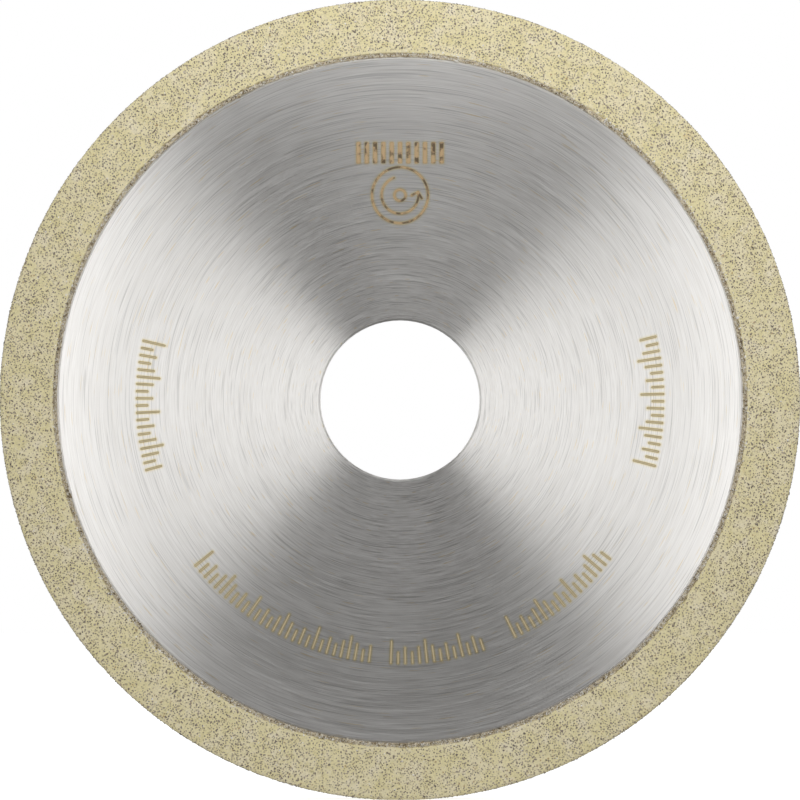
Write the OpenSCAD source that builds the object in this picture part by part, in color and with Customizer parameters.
// Straight peripheral grinding wheel: a steel core that carries a resin-bonded
// superabrasive layer on its rim. The wheel stands upright. Its axis lies along Y,
// its marked front face looks towards -Y, and the origin is the wheel's centre.
// All sizes are in millimetres.

/* [Wheel] */
// Outside diameter, over the abrasive
wheel_d = 100; // [80:1:150]
// Width across the grinding surface, from face to face
wheel_w = 10; // [6:0.5:20]

/* [Core] */
// Diameter of the ground bore that fits the machine's spindle
bore_d = 20; // [10:1:32]
// Chamfer at both ends of the bore
bore_chamfer = 0.2; // [0.1:0.05:0.8]
// Broken edge round the outside of both faces of the core
core_chamfer = 0.25; // [0.1:0.05:0.4]

/* [Abrasive layer] */
// Radial depth of the abrasive, which is the usable part of the wheel
abrasive_depth = 6; // [2:0.5:12]
// Radial thickness of the grain-free resin that the abrasive is moulded on
backing_t = 0.6; // [0.3:0.1:2]
// Broken corner of the abrasive's outer edges
rim_chamfer = 0.15; // [0.05:0.05:0.5]

/* [Adhesive joint] */
// Radial thickness of the adhesive between the core and the backing
adhesive_t = 0.5; // [0.2:0.1:1]
// How far the adhesive lies below both faces of the wheel
adhesive_recess = 0.3; // [0.05:0.05:0.5]
// Number of keying grooves turned in the outer wall of the core
key_count = 3; // [1:1:3]
// Width of a keying groove at its mouth
key_w = 1; // [0.6:0.1:1.2]
// Depth of a keying groove, which the adhesive fills
key_depth = 0.4; // [0.2:0.1:0.8]

/* [Hidden] */
$fn = 180;

rim_r = wheel_d / 2;                   // outside of the abrasive
backing_r = rim_r - abrasive_depth;    // outside of the backing
adhesive_r = backing_r - backing_t;    // outside of the adhesive
core_r = adhesive_r - adhesive_t;      // outside of the core
bore_r = bore_d / 2;
half_w = wheel_w / 2;
adhesive_half_w = half_w - adhesive_recess;

// The grooves share the core's width evenly, with a land at each end.
key_pitch = wheel_w / (key_count + 1);
key_floor_w = key_w / 2;
KEY_CENTRES = [for (i = [1 : key_count]) i * key_pitch - half_w];

// The core's outer wall as [radius, height] points, from its low to its high end.
// Each groove is a trapezium, narrower at its floor than at its mouth.
CORE_WALL = [
    for (c = KEY_CENTRES) each [
        [core_r, c - key_w / 2],
        [core_r - key_depth, c - key_floor_w / 2],
        [core_r - key_depth, c + key_floor_w / 2],
        [core_r, c + key_w / 2],
    ]
];

// Turns a half section about the wheel's axis and lays that axis along Y, with the
// section's positive heights towards the front face.
module turned(section)
    rotate([90, 0, 0]) rotate_extrude() polygon(section);

// Steel disc: two flat faces, a chamfered bore and a grooved outer wall
module core()
    color([0.78, 0.77, 0.75])
        turned(concat(
            [
                [bore_r, bore_chamfer - half_w],
                [bore_r + bore_chamfer, -half_w],
                [core_r - core_chamfer, -half_w],
                [core_r, core_chamfer - half_w],
            ],
            CORE_WALL,
            [
                [core_r, half_w - core_chamfer],
                [core_r - core_chamfer, half_w],
                [bore_r + bore_chamfer, half_w],
                [bore_r, half_w - bore_chamfer],
            ]
        ));

// Thin sleeve of adhesive that fills the grooves and stops short of both faces.
// It starts at the same wall points as the core, so the two always meet.
module adhesive_line()
    color([0.45, 0.41, 0.34])
        turned(concat(
            [
                [adhesive_r, adhesive_half_w],
                [adhesive_r, -adhesive_half_w],
                [core_r, -adhesive_half_w],
            ],
            CORE_WALL,
            [[core_r, adhesive_half_w]]
        ));

// Plain resin ring that joins the abrasive to the adhesive
module backing_ring()
    color([0.87, 0.83, 0.69])
        turned([
            [adhesive_r, -half_w],
            [backing_r, -half_w],
            [backing_r, half_w],
            [adhesive_r, half_w],
        ]);

// Grinding layer: grain in resin, with its outer corners broken
module abrasive_rim()
    color([0.8, 0.76, 0.6])
        turned([
            [backing_r, -half_w],
            [rim_r - rim_chamfer, -half_w],
            [rim_r, rim_chamfer - half_w],
            [rim_r, half_w - rim_chamfer],
            [rim_r - rim_chamfer, half_w],
            [backing_r, half_w],
        ]);

core();
adhesive_line();
backing_ring();
abrasive_rim();
